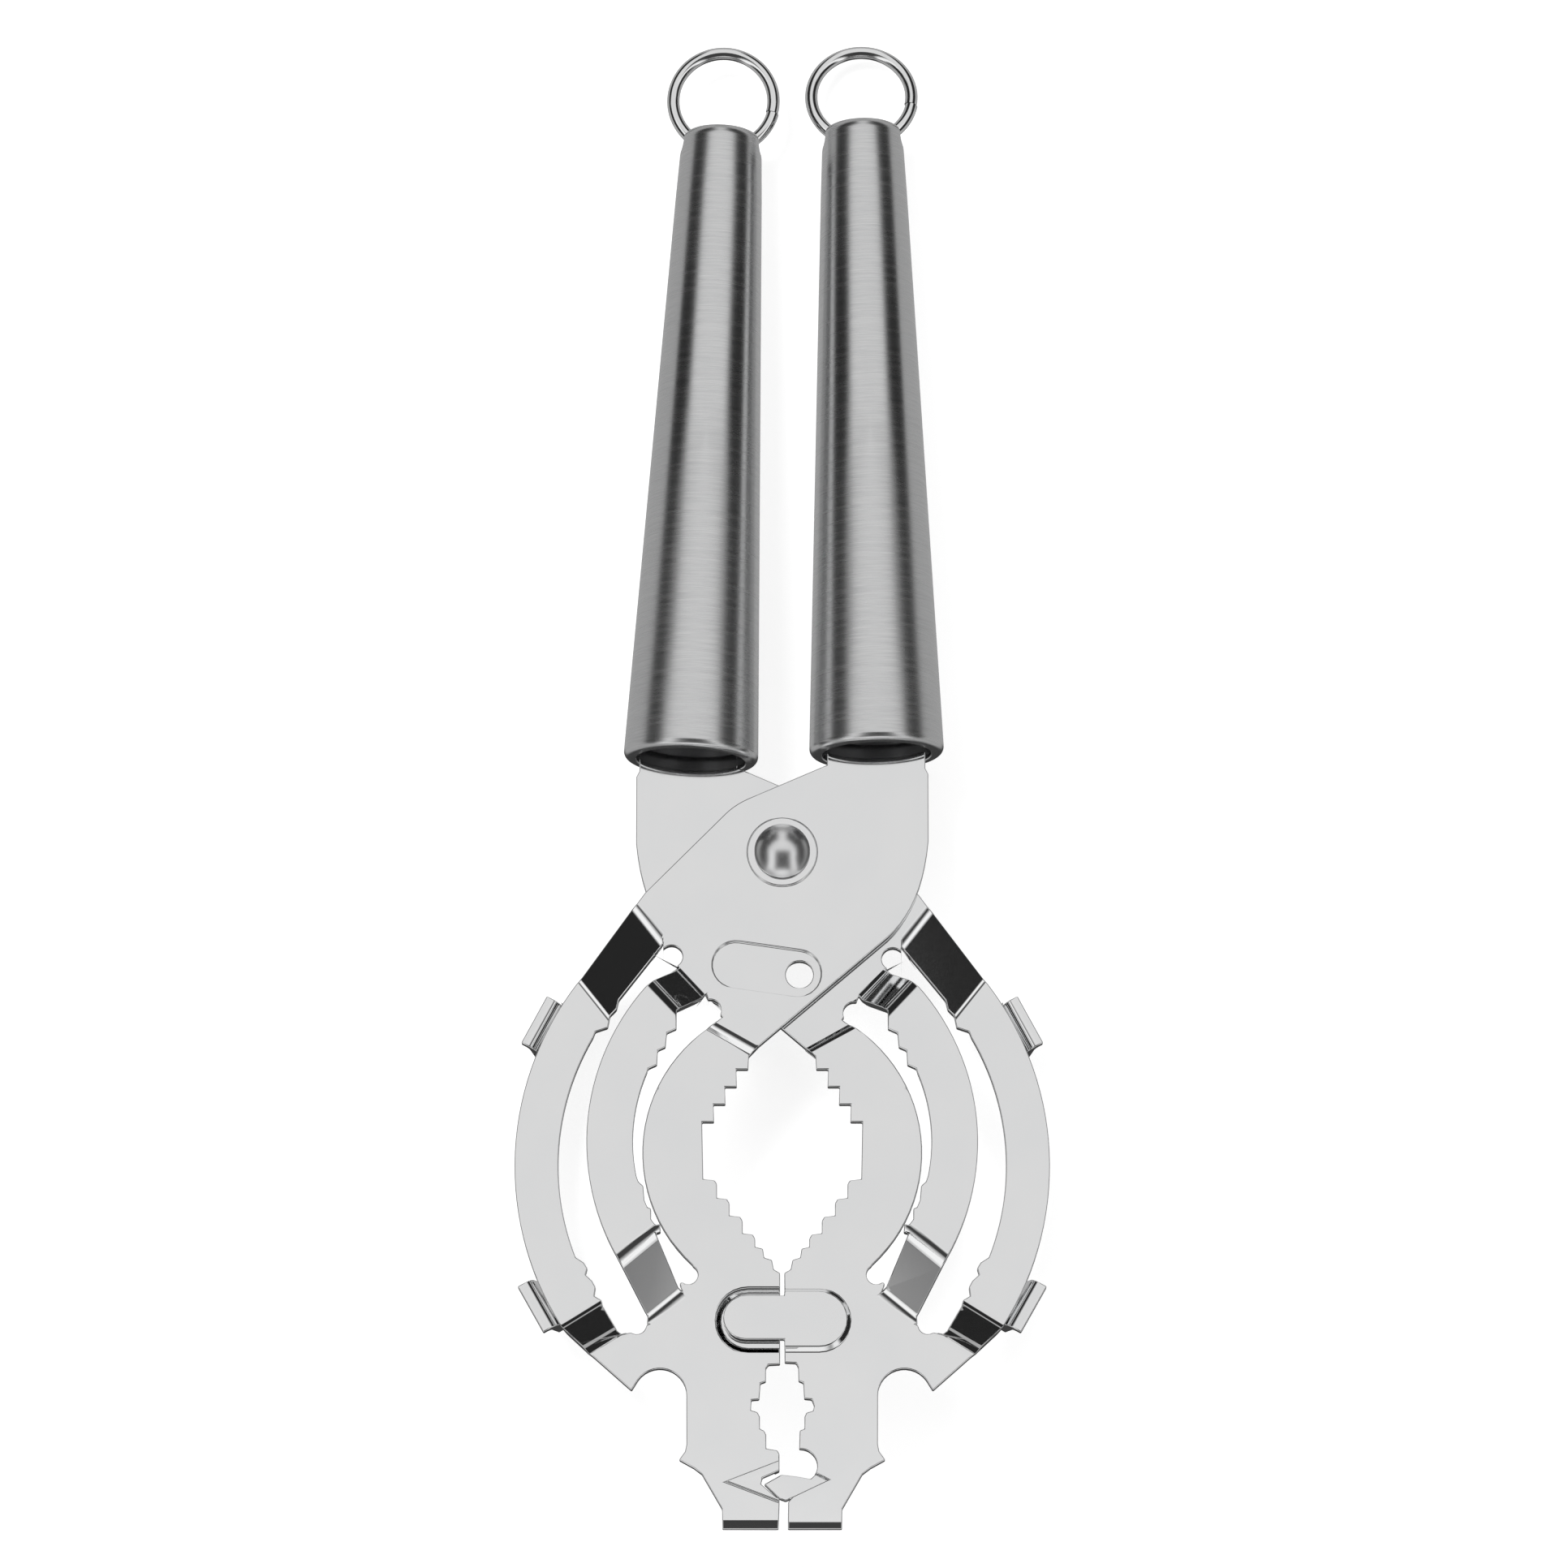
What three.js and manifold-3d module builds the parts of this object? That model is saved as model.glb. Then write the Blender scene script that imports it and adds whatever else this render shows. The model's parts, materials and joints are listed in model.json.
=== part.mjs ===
// Plier-type opener for jar lids, crown caps and bottle tops.
// Two crossed stamped steel blades turn on one rivet. Each blade has three nested gripping
// arcs at different heights and a tang held in a conical tube handle with a hanging ring.
// Design frame: pivot at the origin, +Y toward the handles, +Z up. Millimetres.
import * as THREE from 'three';
import { mergeVertices } from 'three/addons/utils/BufferGeometryUtils.js';
import Module from 'manifold-3d';

// ---------------------------------------------------------------- driving dimensions
const SHEET = 1.7;               // blade sheet thickness
const PLATE_Z = 1.0;             // mid height of each blade at the pivot, above or below zero
const MIDDLE_Z = 10;             // mid height of the middle gripping arc
const OUTER_Z = -10;             // mid height of the outer gripping arc
const ARC_Y = -51.3;             // common centre height of every gripping arc
const JAW_ARC = { x: 2.6, r: 26 };                      // back edge of the inner jaw
const MIDDLE_ARC = { outX: 7.5, outR: 40, inX: 5.25, inR: 30 };
const OUTER_ARC = { outX: 6.9, outR: 52, inX: 6.3, inR: 44 };
const STAMP = 1.1;               // height of the stamped bosses and recesses
const SLOT_HEAD = 1.85;          // radius of the round slot ends by the pivot plate
const SLOT_TAIL = 1.6;           // radius of the round slot ends by the lower body
const TANG = { x: 15.9, half: 8.3, top: 32 };            // strip that reaches into a handle

const BEND = 2.8;                // radius at mid sheet of the bends that raise or lower an arc
const NECK_BEND = 1.2;           // the same for the small step between pivot plate and jaw
const PLUNGE = 20;               // half height of the prisms that trim a folded sheet to its plan

const RIVET = {
  shank: 3.2, hole: 3.5, head: 4.7, headHeight: 2.5, headBand: 0.35, tail: 4.3, tailHeight: 1.1,
  gap: 0.25,                     // play between the heads and the blades
};
const BOSS = { r: 5.9, height: 0.25 };                   // coined ring round the rivet
const RECESS = { from: [-7.8, -19.4], to: [2.6, -20.9], r: 4, depth: 0.7 };  // front blade
const ROUND_HOLE = { x: 2.9, y: -21, front: 2.3, back: 2.6 };    // through recess and back blade
const POCKET = { y: -79.8, left: -5.65, floorR: 4.6, rimR: 5.55, underR: 5.0, seam: 0.35 };
const TONGUE = { y: -79.5, left: -6.1, right: 4, r: 3.7, thick: 0.6 };
const RAISED = { left: -2, right: 6.15, footR: 5.3, topR: 4.65, hollowR: 4.1 };
const TIP_DEPTH = { front: 0.9, back: 0.55 };            // how far each tip is levelled off

const HANDLE = { mouth: 11.45, end: 6.95, length: 112, wall: 0.8, endRound: 2, rim: 1.3, opening: 9.25 };
const HANDLES = [
  { side: 'left', x: -15.5, y: 16.2, lean: -2.6, droop: 0 },
  { side: 'right', x: 16.0, y: 17.3, lean: 1.1, droop: 9 },
];
const INSERT = { start: 3.2, length: 16, gap: 0.3, edge: 0.9 };  // plastic plug that holds a tang
const RING = { radius: 8.7, wire: 1.1, above: 6, hole: 1.9, swing: 36, axisBelow: 0.7, drill: 7 };

const REST_TILT = THREE.MathUtils.degToRad(3.95);        // outer tabs and handle ends touch the table

const STEEL = { color: 0xd9dadb, roughness: 0.12, metalness: 1 };
const BRUSHED = { color: 0xc4c6c8, roughness: 0.32, metalness: 1 };
const BLACK_PLASTIC = { color: 0x1b1c1e, roughness: 0.5, metalness: 0 };

// ---------------------------------------------------------------- solids
const wasm = await Module();
wasm.setup();

function solid(geometry) {
  const bare = geometry.clone();
  bare.deleteAttribute('normal');
  bare.deleteAttribute('uv');
  const merged = mergeVertices(bare, 1e-4);
  return new wasm.Manifold(new wasm.Mesh({
    numProp: 3,
    vertProperties: new Float32Array(merged.attributes.position.array),
    triVerts: new Uint32Array(merged.index.array),
  }));
}

function geometryOf(body) {
  const mesh = body.getMesh();
  const geometry = new THREE.BufferGeometry();
  geometry.setAttribute('position', new THREE.BufferAttribute(new Float32Array(mesh.vertProperties), 3));
  geometry.setIndex(new THREE.BufferAttribute(new Uint32Array(mesh.triVerts), 1));
  geometry.computeVertexNormals();
  return geometry;
}

// The same body with left and right exchanged.
function mirrored(body) {
  const geometry = geometryOf(body);
  geometry.scale(-1, 1, 1);
  const order = geometry.index.array;
  for (let i = 0; i < order.length; i += 3) [order[i], order[i + 1]] = [order[i + 1], order[i]];
  return solid(geometry);
}

const outline = (points) => new THREE.Shape(points.map(([x, y]) => new THREE.Vector2(x, y)));

const extruded = (points, depth) => new THREE.ExtrudeGeometry(outline(points), {
  depth, bevelEnabled: false,
});

// Vertical prism over a plan outline, from height low to height high.
const prism = (plan, low, high) => solid(extruded(plan, high - low).translate(0, 0, low));

// The same with sloping walls: the plan at the bottom runs into another with as many points.
function tapered(lowPlan, highPlan, low, high) {
  const geometry = extruded(lowPlan, high - low).translate(0, 0, low);
  const place = geometry.attributes.position;
  const near = 1e-3;
  for (let i = 0; i < place.count; i += 1) {
    const at = lowPlan.findIndex(([x, y]) => Math.hypot(x - place.getX(i), y - place.getY(i)) < near);
    if (place.getZ(i) > (low + high) / 2) place.setXY(i, ...highPlan[at]);
  }
  return solid(geometry);
}

function disc(x, y, radius, low, high, sides = 32) {
  const geometry = new THREE.CylinderGeometry(radius, radius, high - low, sides);
  return solid(geometry.rotateX(Math.PI / 2).translate(x, y, (low + high) / 2));
}

const joined = (bodies) => bodies.reduce((sum, body) => sum.add(body));
const cut = (body, cutters) => cutters.reduce((rest, cutter) => rest.subtract(cutter), body);

// ---------------------------------------------------------------- outlines
// Points along an arc of the gripping family, from height y0 to height y1, on its left side.
function leftArc(centreX, radius, y0, y1, steps) {
  const angle = (y) => Math.PI - Math.asin((y - ARC_Y) / radius);
  const points = [];
  for (let i = 0; i <= steps; i += 1) {
    const a = angle(y0) + ((angle(y1) - angle(y0)) * i) / steps;
    points.push([centreX + radius * Math.cos(a), ARC_Y + radius * Math.sin(a)]);
  }
  return points;
}

// Points round a centre, between two angles in degrees.
function turn(centreX, centreY, radius, fromDeg, toDeg, steps) {
  const points = [];
  for (let i = 0; i <= steps; i += 1) {
    const a = THREE.MathUtils.degToRad(fromDeg + ((toDeg - fromDeg) * i) / steps);
    points.push([centreX + radius * Math.cos(a), centreY + radius * Math.sin(a)]);
  }
  return points;
}

// Stepped teeth: each step goes along by run, then down by drop.
function stairs(x, y, run, drop, count) {
  const points = [];
  for (let i = 0; i < count; i += 1) {
    points.push([x + run * i, y - drop * i], [x + run * (i + 1) - 0.1, y - drop * i]);
  }
  return points;
}

// Stadium with round ends of radius r between two end centres.
function stadium(ax, ay, bx, by, r, steps = 14) {
  const along = THREE.MathUtils.radToDeg(Math.atan2(by - ay, bx - ax));
  return [
    ...turn(bx, by, r, along - 90, along + 90, steps),
    ...turn(ax, ay, r, along + 90, along + 270, steps),
  ];
}

const JAW_TOP_TEETH = [[-5.6, -35], ...stairs(-5.7, -37.2, -1.9, 3, 4)];
const JAW_LOW_TEETH = [
  [-13.2, -55.9], [-11.3, -56.1], [-10.9, -56.7], [-10.9, -59.1], [-9.2, -59.3], [-8.8, -60],
  [-8.8, -62.1], [-7.0, -62.3], [-6.6, -63], [-6.6, -65.1], [-4.9, -65.3], [-4.5, -66],
  [-4.5, -67.4], [-3.2, -67.7], [-3.0, -69.2], [-1.7, -69.6], [-1.4, -71.2], [-0.35, -71.8],
];
const CAP_JAW_LEFT = [
  [-0.35, -87.2], [-2.3, -87.3], [-2.7, -87.9], [-2.7, -90.1], [-3.6, -90.4], [-3.8, -93.1],
  [-5.1, -93.2], [-5.2, -94.9], [-4.1, -95.2], [-3.7, -96], [-3.7, -98], [-3.0, -98.3],
  [-2.65, -99], [-2.65, -101.3], [-0.8, -101.6], [-0.45, -102.2],
];
const CAP_JAW_RIGHT = [
  [0.4, -86.9], [2.3, -87], [2.65, -87.7], [2.7, -90], [3.5, -90.3], [3.65, -93],
  [4.9, -93.1], [5.3, -94.2], [5.1, -95], [4.0, -95.3], [3.7, -96], [3.7, -98],
  [2.9, -98.3], [2.8, -101.4], ...turn(3.0, -104.2, 2.8, 90, -25, 10),
];
const LOWER_OUTSIDE = [
  [-9.9, -114.7], [-9.95, -111.4], [-13.3, -105.6], [-14.6, -104.6], [-17.1, -103.2],
  [-16.1, -101.8], [-15.85, -100.6], ...turn(-20.3, -92.35, 4.4, 0, 145, 14), [-25, -91.6],
];

// ---------------------------------------------------------------- folded sheet
// Middle line of a sheet that bends at its second and third points, as [s, z, angle] rows.
function bentLine(points, radius) {
  const steps = 4;
  const angles = points.slice(1).map(([s, z], i) => Math.atan2(z - points[i][1], s - points[i][0]));
  const rows = [[...points[0], angles[0]]];
  for (const at of [1, 2]) {
    const [before, after] = [angles[at - 1], angles[at]];
    const side = Math.sign(after - before);
    const reach = radius * Math.tan(Math.abs(after - before) / 2);
    const startS = points[at][0] - reach * Math.cos(before);
    const startZ = points[at][1] - reach * Math.sin(before);
    const centre = [startS - side * radius * Math.sin(before), startZ + side * radius * Math.cos(before)];
    for (let i = 0; i <= steps; i += 1) {
      const a = before + ((after - before) * i) / steps;
      rows.push([centre[0] + side * radius * Math.sin(a), centre[1] - side * radius * Math.cos(a), a]);
    }
  }
  rows.push([...points[3], angles[2]]);
  return rows;
}

// A sheet of the blade's thickness that steps from one height to another between two
// creases. It is flat before the first crease and flat for reach beyond it.
function foldedSheet(plateCrease, armCrease, fromZ, toZ, reach, radius = BEND) {
  const middle = ([a, b]) => new THREE.Vector2((a[0] + b[0]) / 2, (a[1] + b[1]) / 2);
  const direction = ([a, b]) => new THREE.Vector2(b[0] - a[0], b[1] - a[1]).normalize();
  const along = direction(plateCrease).add(direction(armCrease)).normalize();
  const across = new THREE.Vector2(-along.y, along.x);
  const step = middle(armCrease).sub(middle(plateCrease));
  if (across.dot(step) < 0) across.negate();
  const lead = 12;
  const line = bentLine([[-lead, fromZ], [0, fromZ], [across.dot(step), toZ], [reach, toZ]], radius);
  const offset = (side) => line.map(([s, z, a]) => [
    s - side * (SHEET / 2) * Math.sin(a), z + side * (SHEET / 2) * Math.cos(a),
  ]);
  const width = 120;
  const strip = extruded([...offset(-1), ...offset(1).reverse()], width).translate(0, 0, -width / 2);
  const basis = new THREE.Matrix4().makeBasis(
    new THREE.Vector3(across.x, across.y, 0),
    new THREE.Vector3(0, 0, 1),
    new THREE.Vector3(across.y, -across.x, 0),
  );
  const centre = middle(plateCrease);
  basis.setPosition(centre.x, centre.y, 0);
  return solid(strip.applyMatrix4(basis));
}

const CREASE = {
  outerTop: [[-24.4, -8.8], [-20.6, -15.5]], outerTopArm: [[-34.4, -20.1], [-29.4, -24.8]],
  outerLow: [[-32.3, -85.2], [-27.4, -81.5]], outerLowArm: [[-36.4, -79.2], [-30.5, -76.2]],
  middleTop: [[-17.8, -20.5], [-13.7, -25.5]], middleTopArm: [[-22.0, -25.0], [-17.6, -29.2]],
  middleLow: [[-22.4, -79.1], [-17.45, -74.7]], middleLowArm: [[-26.9, -71.2], [-21.2, -66.8]],
  neck: [[-10.2, -30.2], [-4.8, -33.3]], neckJaw: [[-10.75, -31.15], [-5.35, -34.25]],
};

// ---------------------------------------------------------------- blade parts, left side
function outerArm(plateZ) {
  const plan = [
    [-23.1, -7.0], [-24.4, -8.8],
    ...leftArc(OUTER_ARC.outX, OUTER_ARC.outR, -20.3, -79.0, 30),
    [-32.3, -85.2], [-29.5, -87.5], [-25.2, -83.2], [-27.4, -81.5],
    [-30.0, -75.8], [-30.3, -74.6], [-31.5, -73.9], [-31.3, -72.4], [-31.9, -71.3], [-33.0, -70.3],
    [-32.7, -69.2], [-33.3, -68.2],
    ...leftArc(OUTER_ARC.inX, OUTER_ARC.inR, -67.3, -29.6, 26),
    [-31.6, -28.6], [-29.5, -27.9], [-29.1, -25.9], [-28.0, -25.0], [-27.6, -23.6],
    [-20.4, -16.3], [-18.2, -13.0], [-20.0, -6.0],
  ];
  const sheet = foldedSheet(CREASE.outerTop, CREASE.outerTopArm, plateZ, OUTER_Z, 42)
    .add(foldedSheet(CREASE.outerLow, CREASE.outerLowArm, 0, OUTER_Z, 38));
  return prism(plan, -PLUNGE, PLUNGE).intersect(sheet);
}

function middleArm(plateZ) {
  const plan = [
    [-17.2, -19.9], [-17.8, -20.5],
    ...leftArc(MIDDLE_ARC.outX, MIDDLE_ARC.outR, -25.0, -71.2, 28),
    [-22.4, -79.1], [-22.5, -80.4], [-19.5, -81.5], [-15.2, -76.5], [-17.3, -74.3],
    [-20.9, -66.9], [-20.1, -66.6], [-20.2, -65.4], [-21.0, -65.5], [-21.7, -64.6],
    [-21.7, -62.8], [-22.3, -62.6], [-22.8, -61.4], [-23.0, -59.0], [-23.8, -58.3],
    ...leftArc(MIDDLE_ARC.inX, MIDDLE_ARC.inR, -57.3, -39.9, 14),
    [-22.3, -39.2], [-20.8, -38.5], [-20.7, -36.1], [-19.4, -35.5], [-19.2, -33.1],
    [-17.6, -32.4], [-17.6, -29.2], [-13.4, -25.2], [-11.0, -21.5], [-15.0, -18.5],
  ];
  const sheet = foldedSheet(CREASE.middleTop, CREASE.middleTopArm, plateZ, MIDDLE_Z, 32)
    .add(foldedSheet(CREASE.middleLow, CREASE.middleLowArm, 0, MIDDLE_Z, 34));
  return prism(plan, -PLUNGE, PLUNGE).intersect(sheet);
}

// Inner jaw and lower body, which lie in one plane, with the step up to the pivot plate.
function jawAndBody(plateZ, innerEdge) {
  const plan = [
    [-3.0, -32.65], [-4.8, -34.2], ...JAW_TOP_TEETH, ...JAW_LOW_TEETH, ...innerEdge,
    ...LOWER_OUTSIDE, [-31.2, -86.1], [-26.8, -82.2], [-24.4, -81.6], [-21.7, -80.2],
    [-16.6, -75.0], [-17.1, -73.6], [-14.2, -71.7],
    ...leftArc(JAW_ARC.x, JAW_ARC.r, -70.4, -29.0, 26), [-8.6, -27.4],
  ];
  const sheet = foldedSheet(CREASE.neck, CREASE.neckJaw, plateZ, 0, 100, NECK_BEND);
  return prism(plan, -PLUNGE, PLUNGE).intersect(sheet);
}

// Plate round the pivot with the tang of the opposite handle.
function pivotPlate(plateZ) {
  const { x: tangX, half, top } = TANG;
  const belly = new THREE.QuadraticBezierCurve(
    new THREE.Vector2(24.7, 2), new THREE.Vector2(23.6, -9.6), new THREE.Vector2(17.7, -14.8),
  ).getPoints(10).map((p) => [p.x, p.y]);
  const plan = [
    [tangX - half, top], [tangX - half, 15.2], [-1.1, 11.4], ...cornerRound(), [-23.1, -7.0],
    [-20.0, -13.9], [-20.0, -17.2], [-17.4, -19.9], [-16.2, -20.6], [-12.9, -24.2], [-12.1, -26.5],
    [-9.9, -28.6], [-3.9, -33.42], ...belly.reverse(), [24.7, 13.6], [tangX + half, 14.6],
    [tangX + half, top],
  ];
  return prism(plan, plateZ - SHEET / 2, plateZ + SHEET / 2);
}

function cornerRound() {
  return new THREE.QuadraticBezierCurve(
    new THREE.Vector2(-5.8, 9.3), new THREE.Vector2(-8.0, 8.3), new THREE.Vector2(-9.6, 6.7),
  ).getPoints(5).map((p) => [p.x, p.y]);
}

// Tab bent down from the outer edge of the outer arc, between two points of that edge.
function tab([ax, ay], [bx, by]) {
  const half = SHEET / 2;
  const profile = [
    [-3, half], [-1.75, half], [-1.2, 0.74], [-0.7, 0.44], [-0.3, 0], [-0.02, -0.55], [0.12, -1.1],
    [1.4, -7.15], [-0.28, -7.45], [-1.45, -1.6], [-1.75, -1.05], [-2.2, -half], [-3, -half],
  ];
  const length = Math.hypot(bx - ax, by - ay);
  const geometry = extruded(profile, length);
  const along = new THREE.Vector3(bx - ax, by - ay, 0).normalize();
  const up = new THREE.Vector3(0, 0, 1);
  const out = new THREE.Vector3().crossVectors(up, along);
  const basis = new THREE.Matrix4().makeBasis(out, up, along);
  basis.setPosition(ax, ay, OUTER_Z);
  return solid(geometry.applyMatrix4(basis));
}

const WEDGE = [[-9.4, -106.9], [-0.45, -110.3], [-0.45, -103.4]];
const WEDGE_NOTCH = [[0.5, -104.7], [-3.3, -106.4], [-3.5, -107.4], [-0.9, -109.6], [0.5, -110.0]];
const ARROW = [
  [-3.0, -107.1], [-0.15, -105.5], [2.5, -105.8], [4.7, -106.2], [5.5, -105.4], [7.7, -106.5],
  [0.6, -109.9], [-0.5, -109.5],
];

function shrunk(points, amount) {
  const cx = points.reduce((sum, p) => sum + p[0], 0) / points.length;
  const cy = points.reduce((sum, p) => sum + p[1], 0) / points.length;
  return points.map(([x, y]) => [cx + (x - cx) * amount, cy + (y - cy) * amount]);
}

// Levelled tip of the lower body, for prising lids.
function tipChamfer(depth) {
  const half = SHEET / 2;
  const width = 24;
  const wedge = [[-113.4, half + 0.01], [-114.9, half - depth], [-116, half - depth], [-116, 5]];
  const geometry = extruded(wedge, width);
  const basis = new THREE.Matrix4().makeBasis(
    new THREE.Vector3(0, 1, 0), new THREE.Vector3(0, 0, 1), new THREE.Vector3(1, 0, 0),
  );
  basis.setPosition(-width / 2, 0, 0);
  return solid(geometry.applyMatrix4(basis));
}

function bladeArms(plateZ) {
  return joined([
    outerArm(plateZ), middleArm(plateZ),
    tab([-37.2, -23.8], [-41.5, -31.9]), tab([-41.8, -70.8], [-37.4, -78.6]),
  ]);
}

// Round ends of the slots between the arms, on the left side.
const SLOT_ENDS = [
  disc(-18.6, -18.0, SLOT_HEAD, -PLUNGE, PLUNGE), disc(-12.1, -27.3, SLOT_HEAD, -PLUNGE, PLUNGE),
  disc(-24.2, -80.5, SLOT_TAIL, -3, 5), disc(-15.65, -72.1, SLOT_TAIL, -3, 5),
];

// Everything right of x on the lower body.
const rightOf = (x) => prism([[x, -90], [14, -90], [14, -70], [x, -70]], -PLUNGE, PLUNGE);

function blankBlade(plateZ, innerEdge, tipDepth) {
  const sheet = joined([jawAndBody(plateZ, innerEdge), pivotPlate(plateZ), bladeArms(plateZ)]);
  return cut(sheet, [...SLOT_ENDS, disc(0, 0, RIVET.hole, -PLUNGE, PLUNGE), tipChamfer(tipDepth)]);
}

// The front blade has the coined ring, the oblong recess, the pocket and the raised wedge.
function frontBlade() {
  const half = SHEET / 2;
  const { y, left, floorR, rimR, underR, seam } = POCKET;
  const blank = blankBlade(PLATE_Z, [...CAP_JAW_LEFT, [-0.45, -110.6], [-0.6, -114.7]], TIP_DEPTH.front);
  const plateTop = PLATE_Z + half;
  const ring = disc(0, 0, BOSS.r, plateTop - half, plateTop + BOSS.height, 48)
    .subtract(disc(0, 0, RIVET.hole, -PLUNGE, PLUNGE));
  const pocket = (radius) => stadium(left, y, -left, y, radius);
  const underside = prism(pocket(underR), -half - STAMP, -half + 0.3).subtract(rightOf(-seam));
  const stamped = joined([blank, ring, underside, prism(WEDGE, half - 0.3, half + STAMP)]);
  return cut(stamped, [
    tapered(pocket(floorR), pocket(rimR), half - STAMP - 0.1, half + 0.01),
    prism(shrunk(WEDGE, 0.72), -PLUNGE, half - 0.6),
    prism(WEDGE_NOTCH, -PLUNGE, PLUNGE),
    prism(stadium(...RECESS.from, ...RECESS.to, RECESS.r), plateTop - RECESS.depth, PLUNGE),
    disc(ROUND_HOLE.x, ROUND_HOLE.y, ROUND_HOLE.front, -PLUNGE, PLUNGE),
  ]);
}

// The back blade is the mirror blank with the raised boss, the tongue and the sunk arrow.
function backBlade() {
  const half = SHEET / 2;
  const { left, right, footR, topR, hollowR } = RAISED;
  const innerEdge = [...CAP_JAW_RIGHT, [4.3, -106.6], [1.0, -110.2], [0.95, -114.7]];
  const blank = blankBlade(-PLATE_Z, innerEdge.map(([x, y]) => [-x, y]), TIP_DEPTH.back);
  const turned = mirrored(blank)
    .subtract(disc(ROUND_HOLE.x, ROUND_HOLE.y, ROUND_HOLE.back, -PLUNGE, PLUNGE));
  const raised = (radius) => stadium(left, POCKET.y, right, POCKET.y, radius);
  const boss = tapered(raised(footR), raised(topR), half - 0.01, half + STAMP)
    .intersect(rightOf(POCKET.seam));
  const hollow = prism(raised(hollowR), -PLUNGE, half - TONGUE.thick).intersect(rightOf(1.4));
  const tongue = prism(
    stadium(TONGUE.left, TONGUE.y, TONGUE.right, TONGUE.y, TONGUE.r), half - TONGUE.thick, half + STAMP,
  );
  const sunkFace = half - STAMP;
  return joined([turned, boss, tongue]).subtract(hollow)
    .subtract(prism(ARROW, sunkFace, PLUNGE)).add(prism(ARROW, -half - STAMP, sunkFace));
}

// ---------------------------------------------------------------- rivet
function rivet() {
  const { shank, head, headHeight, headBand, tail, tailHeight, gap } = RIVET;
  const top = PLATE_Z + SHEET / 2 + BOSS.height + gap;
  const bottom = -PLATE_Z - SHEET / 2 - gap;
  const dome = (head * head + headHeight * headHeight) / (2 * headHeight);
  const profile = [[0, bottom - tailHeight], [tail - 0.8, bottom - tailHeight], [tail, bottom - 0.5]];
  profile.push([tail, bottom], [shank, bottom], [shank, top], [head, top], [head, top + headBand]);
  const steps = 6;
  const edge = Math.asin(head / dome);
  for (let i = 1; i <= steps; i += 1) {
    const a = edge * (1 - i / steps);
    profile.push([dome * Math.sin(a), top + headBand + headHeight - dome + dome * Math.cos(a)]);
  }
  const points = profile.map(([r, z]) => new THREE.Vector2(r, z));
  return solid(new THREE.LatheGeometry(points, 32).rotateX(Math.PI / 2));
}

// ---------------------------------------------------------------- handles, rings and inserts
const outerRadiusAt = (y) => HANDLE.mouth + ((HANDLE.end - HANDLE.mouth) * y) / HANDLE.length;

// Conical tube along +Y from its mouth, with a rolled-in rim and a closed flat end.
function handleTube() {
  const { end, length, wall, endRound, rim, opening } = HANDLE;
  const outRim = turn(outerRadiusAt(rim) - rim, rim, rim, -90, 0, 5);
  const endOut = turn(end - endRound, length - endRound, endRound, 0, 90, 4);
  const endIn = turn(end - endRound, length - endRound, endRound - wall, 90, 0, 2);
  const inRim = turn(outerRadiusAt(rim) - rim, rim, rim - wall, 0, -90, 3);
  const profile = [
    [opening, 0], ...outRim, ...endOut, [0, length], [0, length - wall],
    ...endIn, ...inRim, [opening, wall], [opening, 0],
  ];
  const points = profile.map(([r, y]) => new THREE.Vector2(r, y));
  const tube = solid(new THREE.LatheGeometry(points, 40));
  const axisY = length - RING.axisBelow;
  const spread = Math.sqrt(RING.radius ** 2 - (RING.above + RING.axisBelow) ** 2);
  const holes = [];
  for (const side of [-1, 1]) {
    for (const swing of [-RING.swing, 0, RING.swing]) {
      const drill = new THREE.CylinderGeometry(RING.hole, RING.hole, RING.drill, 12);
      drill.rotateZ(side * Math.atan2(RING.above + RING.axisBelow, spread));
      drill.rotateX(THREE.MathUtils.degToRad(swing));
      holes.push(solid(drill.translate(side * spread, axisY, 0)));
    }
  }
  return cut(tube, holes);
}

// Plug inside a handle, slotted for the tang at tangX and height tangZ of the whole tool.
function handleInsert(gripMatrix, tangX, tangZ) {
  const { start, length, gap, edge } = INSERT;
  const radius = (y) => outerRadiusAt(y) - HANDLE.wall - gap;
  const profile = [
    [0, start], [radius(start) - edge, start], [radius(start + edge), start + edge],
    [radius(start + length), start + length], [0, start + length],
  ].map(([r, y]) => new THREE.Vector2(r, y));
  const plug = solid(new THREE.LatheGeometry(profile, 32));
  const slot = new THREE.BoxGeometry(2 * (TANG.half + gap), 2 * TANG.top, SHEET + 2 * gap);
  slot.translate(tangX, TANG.top / 2, tangZ).applyMatrix4(gripMatrix.clone().invert());
  return geometryOf(plug.subtract(solid(slot)));
}

function ringGeometry() {
  const ring = new THREE.TorusGeometry(RING.radius, RING.wire, 8, 36);
  return geometryOf(solid(ring.translate(0, RING.above + RING.axisBelow, 0)));
}

// ---------------------------------------------------------------- assembly
function piece(name, geometry, look) {
  const mesh = new THREE.Mesh(geometry, new THREE.MeshStandardMaterial(look));
  mesh.name = name;
  return mesh;
}

const tool = new THREE.Group();
tool.rotation.x = -REST_TILT;
tool.add(piece('front_blade', geometryOf(frontBlade()), STEEL));
tool.add(piece('back_blade', geometryOf(backBlade()), STEEL));
tool.add(piece('pivot_rivet', geometryOf(rivet()), STEEL));

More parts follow.
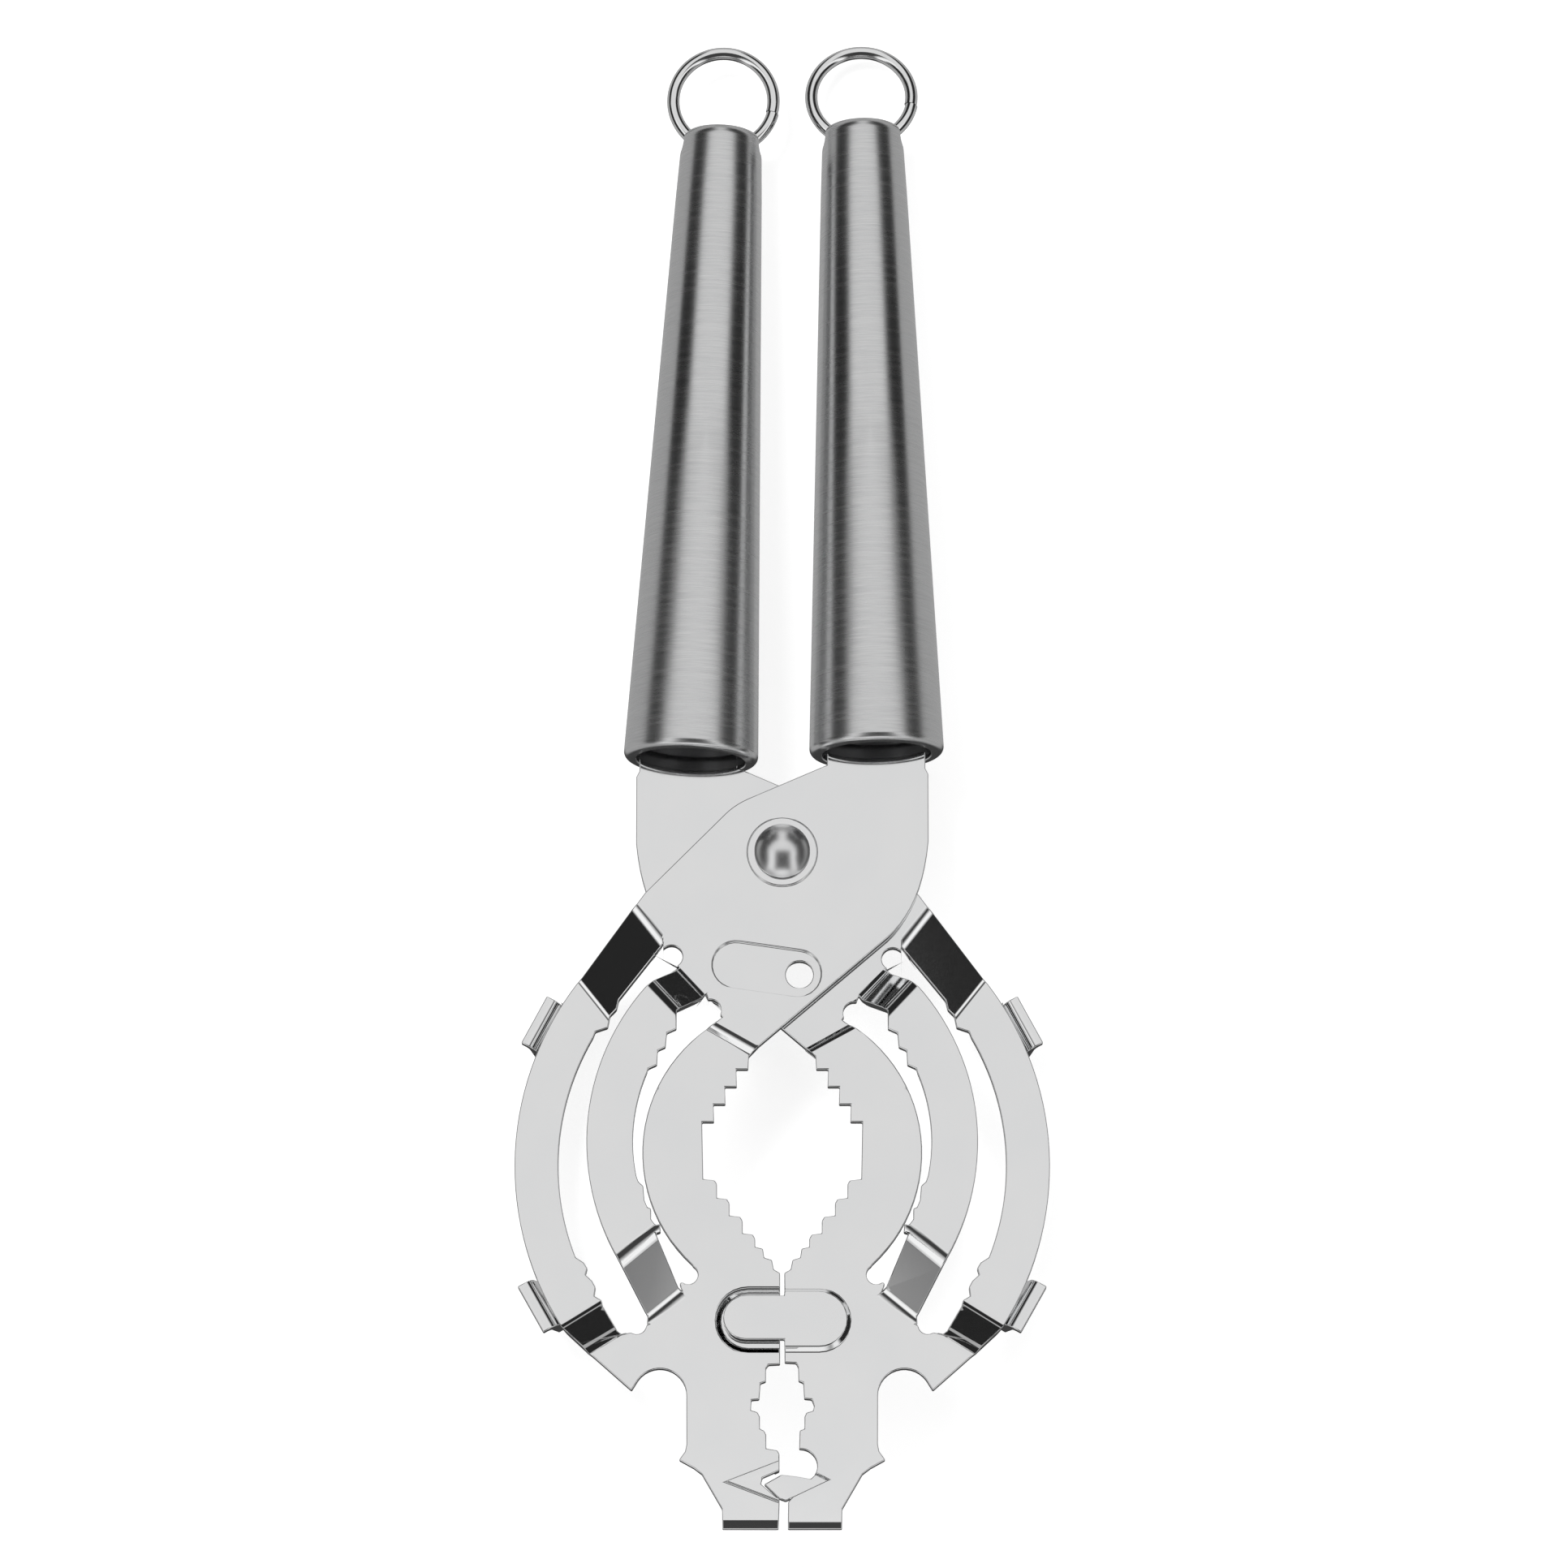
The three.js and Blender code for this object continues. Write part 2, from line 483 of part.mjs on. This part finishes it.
for (const { side, x, y, lean, droop } of HANDLES) {
  const grip = new THREE.Group();
  grip.position.set(x, y, 0);
  grip.rotation.z = THREE.MathUtils.degToRad(lean);
  grip.add(piece(`${side}_handle_tube`, geometryOf(handleTube()), BRUSHED));
  grip.updateMatrix();
  const hand = Math.sign(x);
  const insert = handleInsert(grip.matrix, hand * TANG.x, hand * PLATE_Z);
  grip.add(piece(`${side}_tang_insert`, insert, BLACK_PLASTIC));
  const swing = new THREE.Group();
  swing.position.set(0, HANDLE.length - RING.axisBelow, 0);
  swing.rotation.x = THREE.MathUtils.degToRad(-droop);
  swing.add(piece(`${side}_hanging_ring`, ringGeometry(), STEEL));
  grip.add(swing);
  tool.add(grip);
}

// Stand the part on its origin: the middle of the bottom of its box.
const part = new THREE.Group();
part.add(tool);
part.updateMatrixWorld(true);
const box = new THREE.Box3().setFromObject(tool, true);
tool.position.set(-(box.min.x + box.max.x) / 2, -(box.min.y + box.max.y) / 2, -box.min.z);
part.updateMatrixWorld(true);

export default part;
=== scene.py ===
import json
import math

import bmesh
import bpy
from mathutils import Matrix, Vector


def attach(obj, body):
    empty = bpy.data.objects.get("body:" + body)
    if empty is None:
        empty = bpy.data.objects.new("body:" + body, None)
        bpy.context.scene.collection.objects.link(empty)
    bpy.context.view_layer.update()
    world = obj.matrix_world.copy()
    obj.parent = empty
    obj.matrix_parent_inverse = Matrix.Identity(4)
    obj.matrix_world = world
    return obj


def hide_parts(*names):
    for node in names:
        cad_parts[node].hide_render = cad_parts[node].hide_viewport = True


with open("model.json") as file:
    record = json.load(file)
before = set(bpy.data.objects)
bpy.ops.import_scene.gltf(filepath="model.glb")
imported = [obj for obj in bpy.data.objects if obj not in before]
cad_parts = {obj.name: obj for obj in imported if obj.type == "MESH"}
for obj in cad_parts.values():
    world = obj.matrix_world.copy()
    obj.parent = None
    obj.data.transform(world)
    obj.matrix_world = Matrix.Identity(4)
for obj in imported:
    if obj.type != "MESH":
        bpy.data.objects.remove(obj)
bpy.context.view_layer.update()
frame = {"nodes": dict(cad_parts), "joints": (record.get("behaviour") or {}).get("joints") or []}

# Pliers that open jar lids and caps: two stamped blades on a rivet, each with a conical tube
# handle, a plastic filling that holds it there, and a wire ring to hang it by.

MM = 0.001

# ---------------------------------------------------------------- places taken from the frame
JOINTS = {joint["name"]: joint for joint in frame["joints"]}
PIVOT = Vector(JOINTS["pivot"]["pos_m"])
PLATE_UP = Vector(JOINTS["pivot"]["axis"]).normalized()
PLATE_ALONG = Vector((0, PLATE_UP.z, -PLATE_UP.y))
REST_TILT = math.atan2(PLATE_UP.y, PLATE_UP.z)   # the tool leans this much on its tabs

# ---------------------------------------------------------------- sizes shared with the solids, in mm
HANDLE = {
    "mouth": 11.45,         # outer radius at the open end
    "end": 6.95,            # outer radius at the closed end
    "length": 112.0,
    "wall": 0.8,
    "round": 2.0,           # radius of the closed end's edge
    "rim": 1.3,             # radius of the edge that is rolled in at the mouth
    "opening": 9.25,        # radius left open inside the rolled rim
    "inner_break": 0.1,     # the opening's small chamfers, inside and outside
    "outer_break": 0.15,
}
RING = {
    "radius": 8.7,          # to the middle of the wire
    "wire": 1.1,            # radius
    "above": 6.0,           # the ring's centre, this far past the handle's end
    "below": 0.7,           # the line it swings about, this far inside the end
    "hole": 1.9,            # radius of the holes it passes through
    "drill": 7.0,           # length of the drill that cuts them
    "swing": 36,            # degrees either way that the holes leave room for
    "seam": -12,            # degrees round the ring to where the wire's ends meet
    "gap": 0.6,             # degrees between the two ends
    "step": 0.16,           # how much further out one end lies than the other
}
DROOP = {"left": 0.0, "right": 9.0}              # how far each ring hangs below its handle's plane
WIRE_FIT = 0.985            # the wire against its faceted solid, which is widest at its corners
RIVET = {
    "head": 4.7,            # radius of the domed head
    "height": 2.5,          # of the dome, above its straight edge
    "band": 0.35,           # height of that edge
    "head_z": 2.35,         # underside of the head, from the pivot's middle plane
    "shank": 3.2,           # radius
    "tail": 4.3,            # radius of the peened head
    "tail_z": -2.1,         # where the peened head meets the plate
}
HEAD_BREAK = (0.05, 0.08)   # the small chamfer under the rivet's head
# The peened head's worn edge, in from its rim and out from the plate.
PEENED_EDGE = ((1.4, 1.1), (0.6, 0.95), (0.15, 0.6), (0, 0.25))

# ---------------------------------------------------------------- camera
VIEW_TILT = math.radians(14.0)      # camera lean toward the jaws, off the blades' normal
VIEW_DISTANCE = 1.3
VIEW_CENTRE = (0.3, 12.29)          # aimed at, in mm across and along the tool from the pivot
FRAME_WIDTH = 0.2654                # width seen at the tool
SENSOR = 36.0
CLIP_END = 10


def make_camera():
    across, along = VIEW_CENTRE
    target = PIVOT + MM * (Vector((across, 0, 0)) + along * PLATE_ALONG)
    lean = VIEW_TILT - REST_TILT
    direction = Vector((0, -math.sin(lean), math.cos(lean)))
    camera = bpy.data.objects.new("camera", bpy.data.cameras.new("camera"))
    bpy.context.scene.collection.objects.link(camera)
    camera.data.sensor_width = SENSOR
    camera.data.lens = SENSOR * VIEW_DISTANCE / FRAME_WIDTH
    camera.data.clip_end = CLIP_END
    camera.location = target + direction * VIEW_DISTANCE
    camera.rotation_euler = (lean, 0, 0)
    bpy.context.scene.camera = camera


make_camera()

# ---------------------------------------------------------------- node helpers
# Sockets of a Mix node that is set to mix colours.
MIX_FIRST, MIX_SECOND, MIX_RESULT = 6, 7, 2


def new_material(name):
    material = bpy.data.materials.new(name)
    material.use_nodes = True
    tree = material.node_tree
    shader = next(n for n in tree.nodes if n.type == "BSDF_PRINCIPLED")
    return material, tree, shader


def node(tree, kind, **settings):
    made = tree.nodes.new(kind)
    for key, value in settings.items():
        setattr(made, key, value)
    return made


def set_inputs(made, values):
    """Sets the fixed values of a node's sockets, by socket name."""
    for socket, value in values.items():
        made.inputs[socket].default_value = value


def mapped(tree, scale):
    """Object coordinates, squeezed along each axis by scale."""
    source = node(tree, "ShaderNodeTexCoord")
    mapping = node(tree, "ShaderNodeMapping")
    set_inputs(mapping, {"Scale": scale})
    tree.links.new(source.outputs["Object"], mapping.inputs["Vector"])
    return mapping.outputs["Vector"]


def noise(tree, vector, scale, detail, roughness=0.5):
    texture = node(tree, "ShaderNodeTexNoise")
    set_inputs(texture, {"Scale": scale, "Detail": detail, "Roughness": roughness})
    tree.links.new(vector, texture.inputs["Vector"])
    return texture.outputs["Fac"]


def ramp(tree, value, low, high, from_low=0.3, from_high=0.7):
    """Takes from_low..from_high to low..high and holds it there outside."""
    spread = node(tree, "ShaderNodeMapRange")
    set_inputs(spread, {"From Min": from_low, "From Max": from_high, "To Min": low, "To Max": high})
    tree.links.new(value, spread.inputs["Value"])
    return spread.outputs["Result"]


def calculate(tree, operation, *values):
    """The result of a Math node on one or two sockets."""
    made = node(tree, "ShaderNodeMath", operation=operation)
    for socket, value in zip(made.inputs, values):
        tree.links.new(value, socket)
    return made.outputs["Value"]


def window(tree, value, low, high, soft):
    """1 while the value lies between low and high, with soft ends, and 0 outside."""
    rise = ramp(tree, value, 0, 1, low - soft, low + soft)
    fall = ramp(tree, value, 1, 0, high - soft, high + soft)
    return calculate(tree, "MULTIPLY", rise, fall)


def grey(level):
    return (level, level, level)


def blend(tree, factor, first, second):
    """Mixes two colours, each a tuple or a socket, by a factor socket."""
    mix = node(tree, "ShaderNodeMix", data_type="RGBA")
    tree.links.new(factor, mix.inputs["Factor"])
    for index, colour in ((MIX_FIRST, first), (MIX_SECOND, second)):
        if isinstance(colour, tuple):
            mix.inputs[index].default_value = (*colour, 1)
        else:
            tree.links.new(colour, mix.inputs[index])
    return mix.outputs[MIX_RESULT]


def bump(tree, shader, height, strength, distance):
    made = node(tree, "ShaderNodeBump")
    set_inputs(made, {"Strength": strength, "Distance": distance})
    tree.links.new(height, made.inputs["Height"])
    tree.links.new(made.outputs["Normal"], shader.inputs["Normal"])


# ---------------------------------------------------------------- materials
# Noise scales are per metre, and bump depths are in metres.
POLISH = {
    "cloud_scale": 90,
    "cloud_tint": (0.975, 0.98, 0.985),
    "mark_scale": 9000,
    "mark_stretch": (1, 0.06, 1),       # the marks run along the tool
    "wave_scale": 55,
    "wave_strength": 0.05,
    "wave_depth": 0.4 * MM,
}
HAIRLINE = {
    "stretch": (0.02, 1, 0.02),         # the hairlines run round the tube
    "fine_scale": 9000,
    "broad_scale": 1200,
    "dark": (0.66, 0.665, 0.67),
    "light": (0.80, 0.80, 0.80),
    "rough": (0.24, 0.29),
    "anisotropy": 0.55,
    "strength": 0.08,
    "depth": 0.02 * MM,
}
PLASTIC = {
    "grain_scale": 2500,
    "dark": (0.035, 0.035, 0.037),
    "light": (0.075, 0.075, 0.078),
    "rough": (0.38, 0.55),
    "strength": 0.2,
    "depth": 0.05 * MM,
}
EVEN = (1, 1, 1)


def polished_steel(name, tone, smooth, rough):
    """Buffed stainless: faint clouds of tone, a faint wave in the surface and fine polishing marks."""
    material, tree, shader = new_material(name)
    set_inputs(shader, {"Metallic": 1.0})
    here = mapped(tree, EVEN)
    cloud = ramp(tree, noise(tree, here, POLISH["cloud_scale"], detail=3), 0, 1)
    tinted = tuple(tone * share for share in POLISH["cloud_tint"])
    tree.links.new(blend(tree, cloud, tinted, grey(tone)), shader.inputs["Base Color"])
    marks = noise(tree, mapped(tree, POLISH["mark_stretch"]), POLISH["mark_scale"], detail=2)
    tree.links.new(ramp(tree, marks, smooth, rough), shader.inputs["Roughness"])
    wave = noise(tree, here, POLISH["wave_scale"], detail=1)
    bump(tree, shader, wave, POLISH["wave_strength"], POLISH["wave_depth"])
    return material


def brushed_steel():
    """Tube turned against abrasive: fine hairlines run round it, across its length."""
    material, tree, shader = new_material("brushed_steel")
    set_inputs(shader, {"Metallic": 1.0, "Anisotropic": HAIRLINE["anisotropy"]})
    along = mapped(tree, HAIRLINE["stretch"])
    fine = noise(tree, along, HAIRLINE["fine_scale"], detail=3, roughness=0.65)
    broad = noise(tree, along, HAIRLINE["broad_scale"], detail=2)
    colour = blend(tree, ramp(tree, fine, 0, 1), HAIRLINE["dark"], HAIRLINE["light"])
    tree.links.new(colour, shader.inputs["Base Color"])
    tree.links.new(ramp(tree, broad, *HAIRLINE["rough"]), shader.inputs["Roughness"])
    bump(tree, shader, fine, HAIRLINE["strength"], HAIRLINE["depth"])
    return material


def black_plastic():
    """Moulded filling of the handles, with a fine even grain."""
    material, tree, shader = new_material("black_plastic")
    grain = noise(tree, mapped(tree, EVEN), PLASTIC["grain_scale"], detail=2)
    colour = blend(tree, grain, PLASTIC["dark"], PLASTIC["light"])
    tree.links.new(colour, shader.inputs["Base Color"])
    tree.links.new(ramp(tree, grain, *PLASTIC["rough"]), shader.inputs["Roughness"])
    bump(tree, shader, grain, PLASTIC["strength"], PLASTIC["depth"])
    return material


MATERIALS = {
    "polished_steel": polished_steel("polished_steel", 0.90, 0.05, 0.09),
    "rivet_steel": polished_steel("rivet_steel", 0.92, 0.29, 0.33),
    "ring_wire": polished_steel("ring_wire", 0.88, 0.08, 0.14),
    "brushed_steel": brushed_steel(),
    "black_plastic": black_plastic(),
}


def dress(piece, slot):
    piece.data.materials.clear()
    piece.data.materials.append(MATERIALS[slot])


def smooth_faces(mesh):
    for polygon in mesh.polygons:
        polygon.use_smooth = True


# ---------------------------------------------------------------- carried-over CAD nodes
WELD = 0.12 * MM
FLAT_ANGLE = math.radians(0.6)      # triangles that meet at less than this are one flat
BLADE_EDGE = (0.2 * MM, math.radians(28))       # width of the rounding, and the angle it starts at
INSERT_EDGE = (0.2 * MM, math.radians(40))


def soften(piece, width, angle):
    """Rounds the sheared edges of a sheet part a little, as blanking does."""
    weld = piece.modifiers.new("weld", "WELD")
    weld.merge_threshold = WELD
    flats = piece.modifiers.new("whole_flats", "DECIMATE")
    flats.decimate_type = "DISSOLVE"
    flats.angle_limit = FLAT_ANGLE
    bevel = piece.modifiers.new("edge_round", "BEVEL")
    bevel.width = width
    bevel.segments = 3
    bevel.limit_method = "ANGLE"
    bevel.angle_limit = angle
    bevel.use_clamp_overlap = False
    bevel.loop_slide = False
    normals = piece.modifiers.new("flat_normals", "WEIGHTED_NORMAL")
    normals.mode = "FACE_AREA"
    normals.weight = 100
    normals.keep_sharp = True
    smooth_faces(piece.data)


for blade in ("front_blade", "back_blade"):
    dress(frame["nodes"][blade], "polished_steel")
    soften(frame["nodes"][blade], *BLADE_EDGE)
for insert in ("left_tang_insert", "right_tang_insert"):
    dress(frame["nodes"][insert], "black_plastic")
    soften(frame["nodes"][insert], *INSERT_EDGE)

# ---------------------------------------------------------------- turned and bent pieces
TUBE_SIDES = 128
RIVET_SIDES = 96
RING_STEPS = 96
WIRE_SIDES = 20
DRILL_SIDES = 32
TUBE_CREASE, RING_CREASE, RIVET_CREASE = 40, 50, 45     # degrees above which an edge stays sharp
ON_AXIS = 1e-6


def arc(cx, cy, radius, start, end, steps):
    """Points (radius, height) on an arc, angles in degrees."""
    points = []
    for i in range(steps + 1):
        a = math.radians(start + (end - start) * i / steps)
        points.append((cx + radius * math.cos(a), cy + radius * math.sin(a)))
    return points


def add_piece(name, mesh, place, crease):
    """Makes an object of a bmesh, smooth but for the edges sharper than crease degrees."""
    bmesh.ops.recalc_face_normals(mesh, faces=mesh.faces)
    data = bpy.data.meshes.new(name)
    mesh.to_mesh(data)
    mesh.free()
    smooth_faces(data)
    piece = bpy.data.objects.new(name, data)
    bpy.context.scene.collection.objects.link(piece)
    piece.matrix_world = place
    piece.data.set_sharp_from_angle(angle=math.radians(crease))
    return piece


def turned(name, profile, sides, place, crease, closed=False):
    """A surface of revolution about local Y from (radius, y) points in millimetres."""
    mesh = bmesh.new()
    rows = []
    for radius, y in profile:
        if radius < ON_AXIS:
            rows.append([mesh.verts.new((0, y * MM, 0))])
            continue
        row = []
        for i in range(sides):
            a = 2 * math.pi * i / sides
            point = Vector((radius * math.cos(a), y, -radius * math.sin(a)))
            row.append(mesh.verts.new(point * MM))
        rows.append(row)
    pairs = list(zip(rows, rows[1:]))
    if closed:
        pairs.append((rows[-1], rows[0]))
    for first, second in pairs:
        for i in range(sides):
            j = i + 1
            corners = [row[k % len(row)] for row, k in ((first, i), (first, j), (second, j), (second, i))]
            unique = list(dict.fromkeys(corners))
            if len(unique) > 2:
                mesh.faces.new(unique)
    return add_piece(name, mesh, place, crease)


def grip_place(side):
    """The matrix of a handle's own frame: its mouth at the origin, +Y along it."""
    swing = JOINTS[f"{side}_ring_swing"]
    across = Vector(swing["axis"]).normalized()
    along = PLATE_UP.cross(across).normalized()
    up = across.cross(along)
    turn = Matrix((across, along, up)).transposed().to_4x4()
    mouth = Vector(swing["pos_m"]) - along * (HANDLE["length"] - RING["below"]) * MM
    return Matrix.Translation(mouth) @ turn


def swing_line():
    """From a handle's own frame to the line that its ring swings about."""
    return Matrix.Translation((0, (HANDLE["length"] - RING["below"]) * MM, 0))


def outer_radius(y):
    return HANDLE["mouth"] + (HANDLE["end"] - HANDLE["mouth"]) * y / HANDLE["length"]


def tube_profile():
    """Round the tube's wall once: up the outside, over the closed end and down the inside."""
    h = HANDLE
    rim = (outer_radius(h["rim"]) - h["rim"], h["rim"])
    corner = (h["end"] - h["round"], h["length"] - h["round"])
    outside = arc(*rim, h["rim"], -90, 0, 12)
    body = [(outer_radius(y), y) for y in range(20, 101, 20)]
    end = arc(*corner, h["round"], 0, 90, 8)
    middle = [(0, h["length"]), (0, h["length"] - h["wall"])]
    inside = arc(*corner, h["round"] - h["wall"], 90, 0, 6)
    bore = [(outer_radius(y) - h["wall"], y) for y in range(80, 19, -30)]
    lip = arc(*rim, h["rim"] - h["wall"], 0, -90, 6)
    edge = [
        (h["opening"] + h["inner_break"], h["wall"]),
        (h["opening"], h["wall"] - h["inner_break"]),
        (h["opening"], h["outer_break"]),
        (h["opening"] + h["outer_break"], 0),
    ]
    return outside + body + end + middle + inside + bore + lip + edge


def ring_hole_cutter(place):
    """Drills at both sides of the ring, at rest and at each end of its swing."""
    reach = RING["above"] + RING["below"]
    spread = math.sqrt(RING["radius"] ** 2 - reach ** 2)
    mesh = bmesh.new()
    for side in (-1, 1):
        for swing in (-RING["swing"], 0, RING["swing"]):
            turn = (Matrix.Rotation(math.radians(swing), 4, "X")
                    @ Matrix.Rotation(side * math.atan2(reach, spread), 4, "Z")
                    @ Matrix.Rotation(math.radians(90), 4, "X"))
            shift = swing_line() @ Matrix.Translation((side * spread * MM, 0, 0))
            bmesh.ops.create_cone(mesh, cap_ends=True, segments=DRILL_SIDES, radius1=RING["hole"] * MM,
                                  radius2=RING["hole"] * MM, depth=RING["drill"] * MM, matrix=shift @ turn)
    data = bpy.data.meshes.new("ring_hole_cutter")
    mesh.to_mesh(data)
    mesh.free()
    cutter = bpy.data.objects.new("ring_hole_cutter", data)
    bpy.context.scene.collection.objects.link(cutter)
    cutter.matrix_world = place
    return cutter


def drill_ring_holes(tube, place):
    """Cuts the two holes that the ring passes through, wide enough for it to swing."""
    cutter = ring_hole_cutter(place)
    drill = tube.modifiers.new("ring_holes", "BOOLEAN")
    drill.object = cutter
    drill.operation = "DIFFERENCE"
    drill.solver = "EXACT"
    drill.use_self = True
    bpy.context.view_layer.update()
    evaluated = tube.evaluated_get(bpy.context.evaluated_depsgraph_get())
    mesh = bpy.data.meshes.new_from_object(evaluated)
    tube.modifiers.clear()
    tube.data = mesh
    tube.data.set_sharp_from_angle(angle=math.radians(TUBE_CREASE))
    bpy.data.objects.remove(cutter)


def make_tube(side, body):
    """Conical handle with a rolled rim at its mouth and a closed end."""
    place = grip_place(side)
    tube = turned(f"{side}_handle_shell", tube_profile(), TUBE_SIDES, place, TUBE_CREASE, closed=True)
    drill_ring_holes(tube, place)
    dress(tube, "brushed_steel")
    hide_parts(f"{side}_handle_tube")
    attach(tube, body)


def make_ring(side, body):
    """Round wire bent to a circle, its two ends butted on one side with a slight step."""
    droop = Matrix.Rotation(math.radians(-DROOP[side]), 4, "X")
    centre = Matrix.Translation((0, (RING["above"] + RING["below"]) * MM, 0))
    seam, gap = math.radians(RING["seam"]), math.radians(RING["gap"])
    wire = RING["wire"] * WIRE_FIT
    mesh = bmesh.new()
    rows = []
    for i in range(RING_STEPS + 1):
        t = i / RING_STEPS
        a = seam + gap / 2 + (2 * math.pi - gap) * t
        radius = RING["radius"] + RING["step"] * (t - 0.5)
        row = []
        for k in range(WIRE_SIDES):
            b = 2 * math.pi * k / WIRE_SIDES
            r = radius + wire * math.cos(b)
            point = Vector((r * math.cos(a), r * math.sin(a), wire * math.sin(b)))
            row.append(mesh.verts.new(point * MM))
        rows.append(row)
    for first, second in zip(rows, rows[1:]):
        for k in range(WIRE_SIDES):
            j = (k + 1) % WIRE_SIDES
            mesh.faces.new((first[k], first[j], second[j], second[k]))
    mesh.faces.new(rows[0])
    mesh.faces.new(rows[-1])
    place = grip_place(side) @ swing_line() @ droop @ centre
    ring = add_piece(f"{side}_ring_wire", mesh, place, RING_CREASE)
    dress(ring, "ring_wire")
    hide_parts(f"{side}_hanging_ring")
    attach(ring, body)


def rivet_profile():
    r = RIVET
    radius = (r["head"] ** 2 + r["height"] ** 2) / (2 * r["height"])
    edge = math.degrees(math.asin(r["head"] / radius))
    rim = r["head_z"] + r["band"]
    top = rim + r["height"]
    inward, up = HEAD_BREAK
    peened = [(r["tail"] - x, r["tail_z"] - y) for x, y in PEENED_EDGE]
    shank = [(r["tail"], r["tail_z"]), (r["shank"], r["tail_z"]), (r["shank"], r["head_z"])]
    band = [(r["head"] - inward, r["head_z"]), (r["head"], r["head_z"] + up), (r["head"], rim)]
    dome = arc(0, top - radius, radius, 90 - edge, 90, 20)[1:-1]
    return [(0, peened[0][1])] + peened + shank + band + dome + [(0, top)]


def make_rivet():
    """Buffed domed head in front, flattened peened head behind."""
    across = Vector((1, 0, 0))
    turn = Matrix((across, PLATE_UP, across.cross(PLATE_UP))).transposed().to_4x4()
    place = Matrix.Translation(PIVOT) @ turn
    rivet = turned("rivet_head", rivet_profile(), RIVET_SIDES, place, RIVET_CREASE)
    dress(rivet, "rivet_steel")
    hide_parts("pivot_rivet")
    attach(rivet, "front_half")


make_tube("right", "front_half")
make_tube("left", "back_half")
make_ring("right", "right_ring")
make_ring("left", "left_ring")
make_rivet()

# ---------------------------------------------------------------- floor
FLOOR_REACH = 3.0
FLOOR_DROP = 0.1 * MM       # keeps the floor just clear of the tabs that stand on it
FLOOR_TONE = 0.80
FLOOR_GLOW = 0.75           # lifts the floor to the white of the photograph's ground


def make_floor():
    material, tree, shader = new_material("floor_white")
    set_inputs(shader, {
        "Base Color": (*grey(FLOOR_TONE), 1),
        "Roughness": 0.9,
        "Specular IOR Level": 0.1,
        "Emission Color": (1, 1, 1, 1),
        "Emission Strength": FLOOR_GLOW,
    })
    mesh = bpy.data.meshes.new("floor")
    corners = [(x * FLOOR_REACH, y * FLOOR_REACH, 0) for x, y in ((-1, -1), (1, -1), (1, 1), (-1, 1))]
    mesh.from_pydata(corners, [], [(0, 1, 2, 3)])
    floor = bpy.data.objects.new("floor", mesh)
    bpy.context.scene.collection.objects.link(floor)
    floor.location.z = -FLOOR_DROP
    floor.data.materials.append(material)
    floor.visible_glossy = False


# ---------------------------------------------------------------- light
# The surroundings as the metal sees them, by direction: x across the tool, y toward the rings, z up.
# A pair is where a change starts and where it ends.
FIELD = {
    "width": (0.72, 0.20),      # half width, toward the jaws and toward the rings
    "narrowing": (0.34, 0.48),  # y over which the width changes
    "edge": (-0.05, 0.05),
    "overhead": (0.62, 0.72),   # z above which all of the sky is bright
    "horizon": (0.10, 0.16),    # z below which none of it is
    "front_tone": 1.0,          # toward the jaws
    "back_tone": 0.76,          # toward the rings
    "fading": (0.0, 0.25),      # y over which the tone changes
}
# The card's reach in x and in y: from, to and how soft its edge is.
CARD = {"x": (-0.42, 0.48, 0.08), "y": (-0.86, 0.12, 0.06), "tone": 0.05}
DARK = 0.02                     # beside the bright field
UNDER = 0.42                    # from the floor
FLOOR_LINE = (0.04, 0.12)       # z over which the floor's light gives way to the dark
KEY_PLACE = Vector((-0.5, 0.5, 1.1))
KEY_SIZE = 0.5
KEY_POWER = 4.5


def make_sky():
    """A broad bright field overhead, dark to both sides, with a dark card toward the jaws."""
    world = bpy.data.worlds.new("studio")
    bpy.context.scene.world = world
    world.use_nodes = True
    tree = world.node_tree
    background = next(n for n in tree.nodes if n.type == "BACKGROUND")
    source = node(tree, "ShaderNodeTexCoord")
    split = node(tree, "ShaderNodeSeparateXYZ")
    tree.links.new(source.outputs["Generated"], split.inputs["Vector"])
    x, y, z = (split.outputs[axis] for axis in "XYZ")
    half_width = ramp(tree, y, *FIELD["width"], *FIELD["narrowing"])
    inward = calculate(tree, "SUBTRACT", half_width, calculate(tree, "ABSOLUTE", x))
    inside = ramp(tree, inward, 0, 1, *FIELD["edge"])
    field = calculate(tree, "MAXIMUM", inside, ramp(tree, z, 0, 1, *FIELD["overhead"]))
    above = calculate(tree, "MULTIPLY", field, ramp(tree, z, 0, 1, *FIELD["horizon"]))
    card = calculate(tree, "MULTIPLY", window(tree, y, *CARD["y"]), window(tree, x, *CARD["x"]))
    below = blend(tree, ramp(tree, z, 0, 1, *FLOOR_LINE), grey(UNDER), grey(DARK))
    backward = ramp(tree, y, 0, 1, *FIELD["fading"])
    bright = blend(tree, backward, grey(FIELD["front_tone"]), grey(FIELD["back_tone"]))
    lit = blend(tree, above, below, bright)
    shaded = blend(tree, card, lit, grey(CARD["tone"]))
    tree.links.new(shaded, background.inputs["Color"])


def make_key_light():
    light = bpy.data.objects.new("key", bpy.data.lights.new("key", "AREA"))
    bpy.context.scene.collection.objects.link(light)
    light.data.shape = "DISK"
    light.data.size = KEY_SIZE
    light.data.energy = KEY_POWER
    light.location = KEY_PLACE
    light.rotation_euler = (-KEY_PLACE).to_track_quat("-Z", "Y").to_euler()
    light.visible_glossy = False


make_floor()
make_sky()
make_key_light()
bpy.context.scene.view_settings.view_transform = "Standard"
